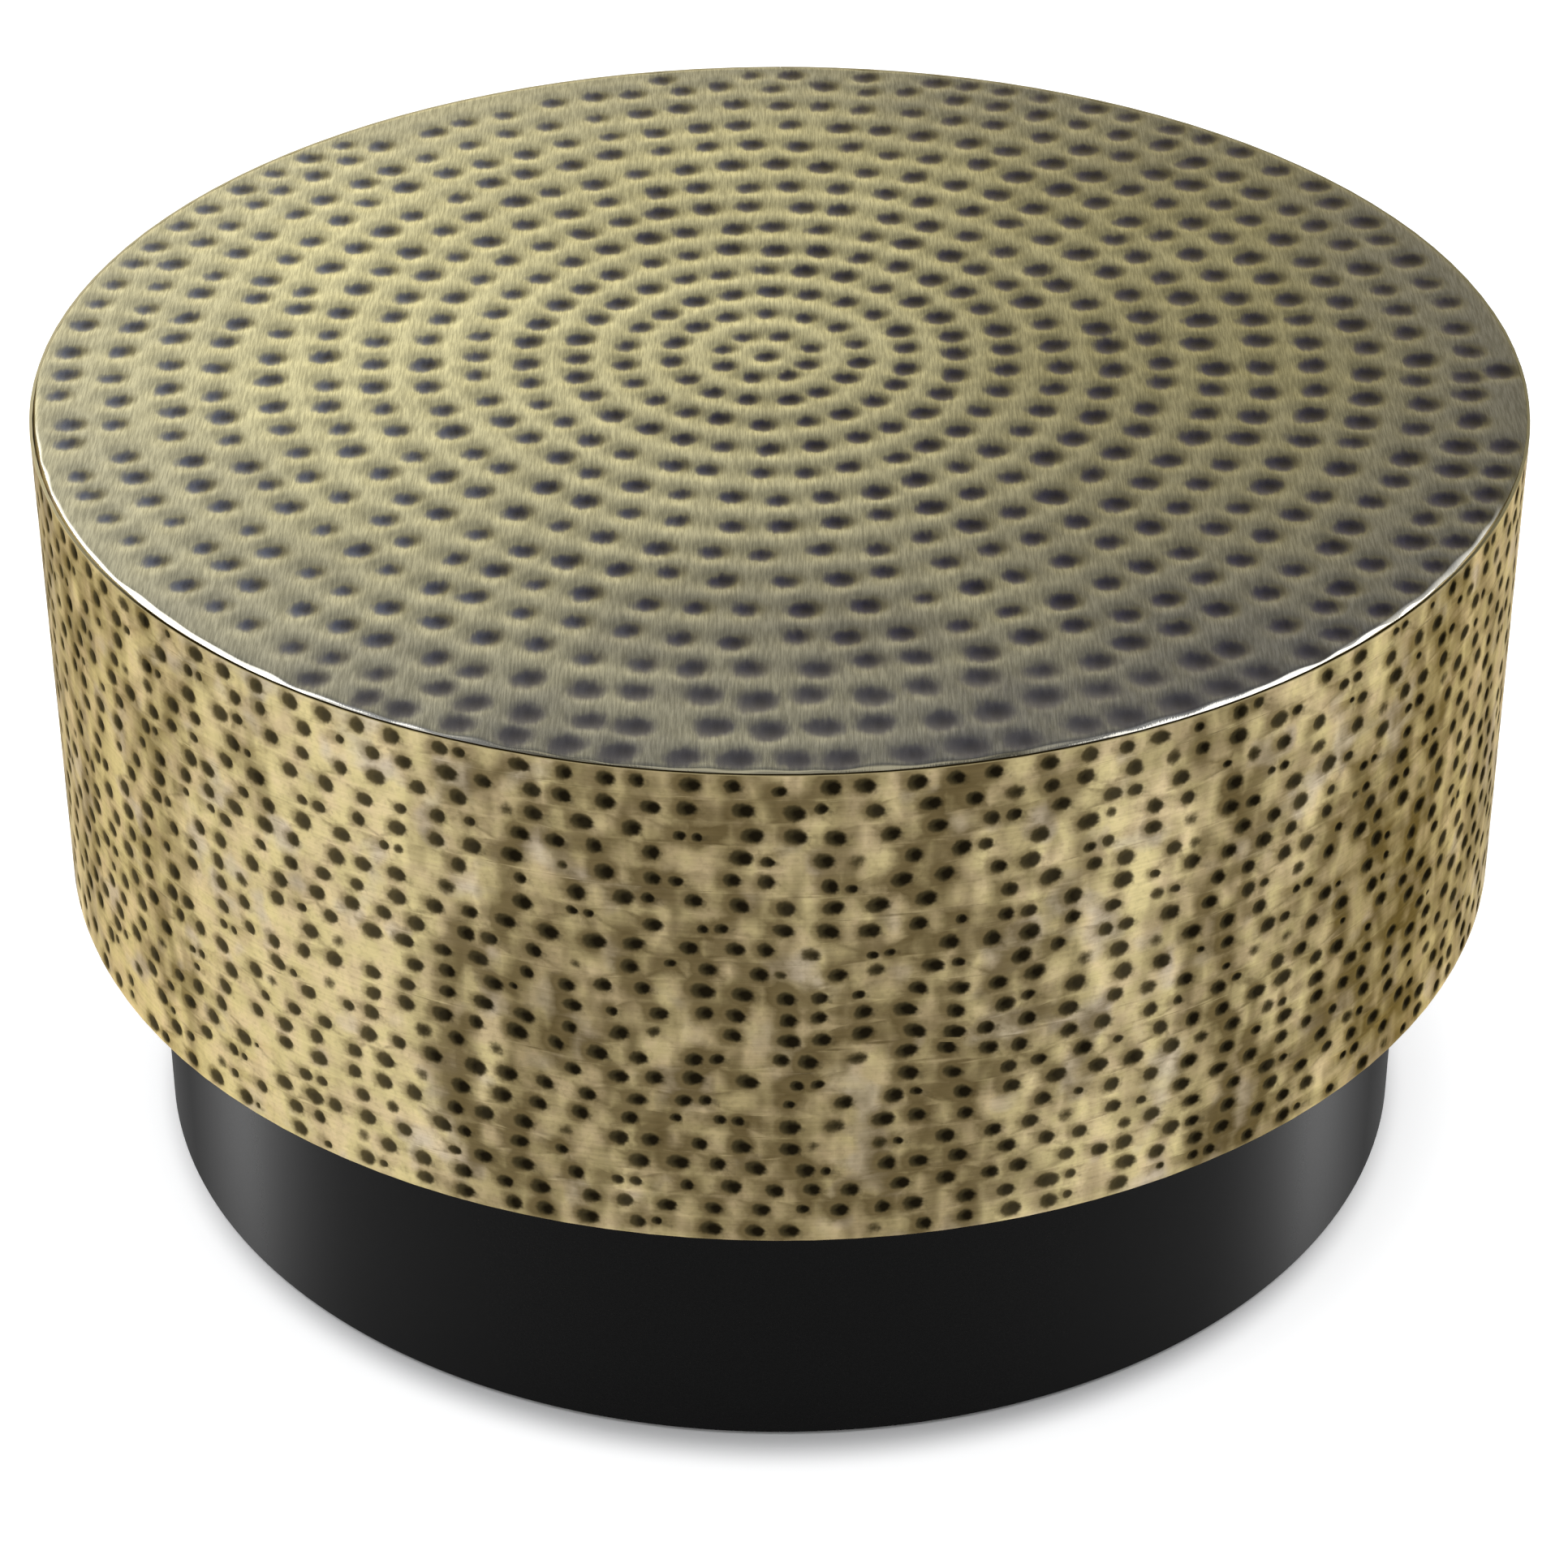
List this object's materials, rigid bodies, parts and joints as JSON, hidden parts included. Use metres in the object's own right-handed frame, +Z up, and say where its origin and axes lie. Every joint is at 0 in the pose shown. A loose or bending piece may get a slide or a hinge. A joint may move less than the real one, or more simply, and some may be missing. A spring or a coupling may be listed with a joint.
{
  "type": "coffee table",
  "caption": "Round drum coffee table: hammered antique-brass top and skirt on a recessed black cylindrical plinth, for standing on a floor.",
  "frame": {"origin": "centre of the footprint, on the floor under the glides", "axes": "+Z up out of the table top, -Y to the front seen in the picture, +Y to the back where the sheet seams are"},
  "size_m": [0.7, 0.6999, 0.386],
  "materials": {
    "top_metal": "antique brass, brushed and hammered, dents darkened",
    "skirt_metal": "antique brass, hammered, dents blackened",
    "plinth_black": "satin black powder coat",
    "frame_steel": "black primer on rolled and flat steel",
    "board": "fibreboard, underside stained black",
    "hardware": "zinc plated",
    "glide_plastic": "black nylon"
  },
  "bodies": {
    "root": {"board_screws": "hardware", "bolt_washers": "hardware", "floor_board": "board", "floor_screws": "hardware", "foot_glides": "glide_plastic", "lower_hoop": "frame_steel", "plinth_bolts": "hardware", "plinth_foot_hoop": "plinth_black", "plinth_seam_strip": "frame_steel", "plinth_top_hoop": "plinth_black", "plinth_wall": "plinth_black", "skirt": "skirt_metal", "skirt_seam_strip": "frame_steel", "stay_1": "frame_steel", "stay_2": "frame_steel", "stay_3": "frame_steel", "stay_4": "frame_steel", "stay_5": "frame_steel", "stay_6": "frame_steel", "tee_nuts": "hardware", "top_board": "board", "top_pan": "top_metal", "top_rail_back": "frame_steel", "top_rail_front": "frame_steel", "top_rail_long": "frame_steel", "upper_hoop": "frame_steel"}
  },
  "joints": []
}
